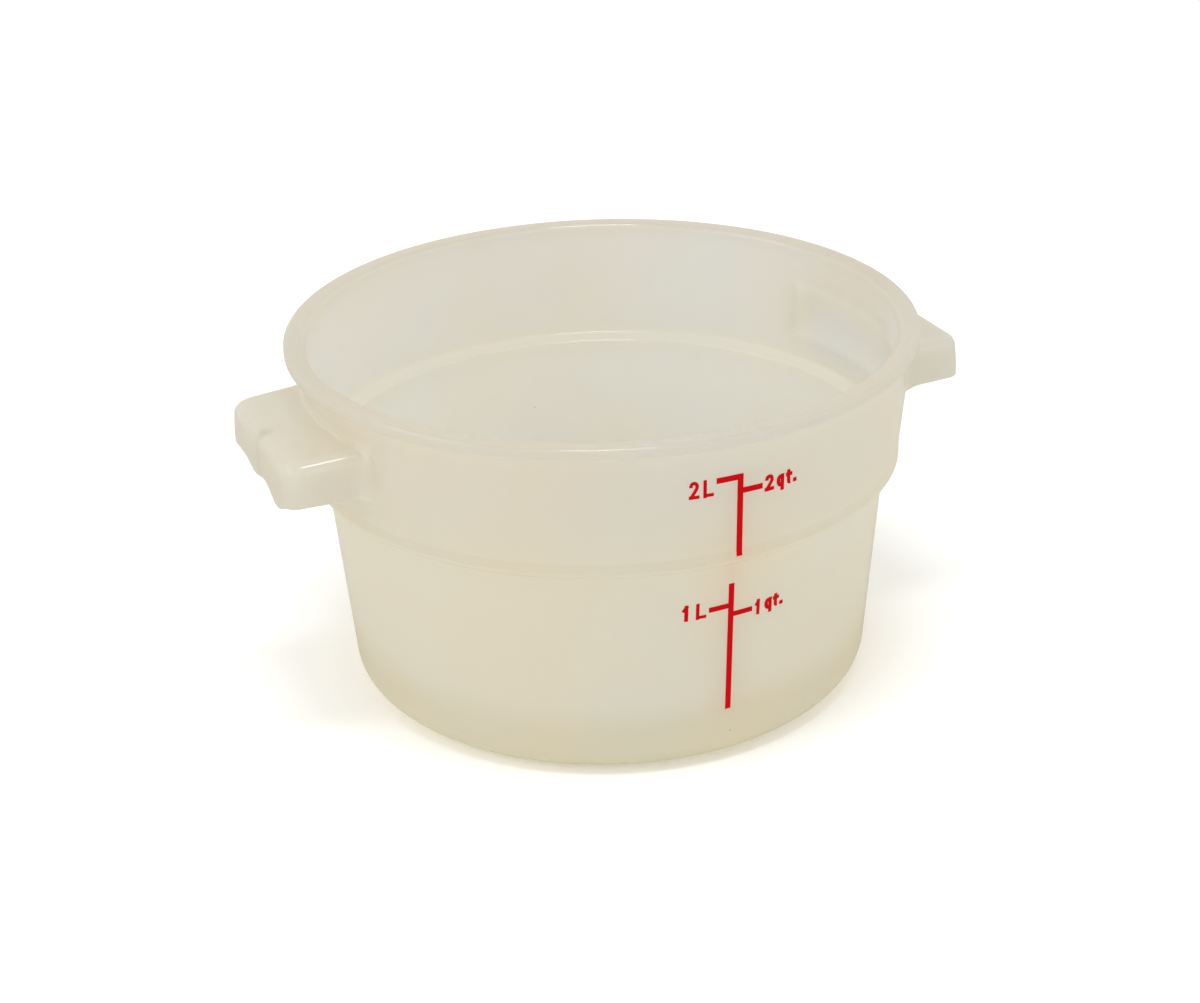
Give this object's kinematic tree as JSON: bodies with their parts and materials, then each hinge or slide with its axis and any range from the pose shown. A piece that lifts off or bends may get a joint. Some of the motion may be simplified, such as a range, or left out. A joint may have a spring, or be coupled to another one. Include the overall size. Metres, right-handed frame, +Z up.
{
  "type": "food storage container",
  "caption": "Round milky plastic food tub with a stepped wall, thick rim, hollow lug handles on opposite sides and a printed fill scale.",
  "frame": {"origin": "middle of the underside, on the surface the tub stands on", "axes": "+Z up, X through the two handles with left_handle at -X, the printed scale at -Y"},
  "size_m": [0.2162, 0.1892, 0.11],
  "materials": {
    "tub_plastic": "milky translucent polypropylene, satin, warm cream",
    "handle_plastic": "the tub's own milky polypropylene, satin",
    "scale_ink": "opaque red screen-printed ink"
  },
  "bodies": {
    "root": {"tub_body": "tub_plastic", "left_handle": "handle_plastic", "right_handle": "handle_plastic", "upper_scale": "scale_ink", "lower_scale": "scale_ink"}
  },
  "joints": []
}
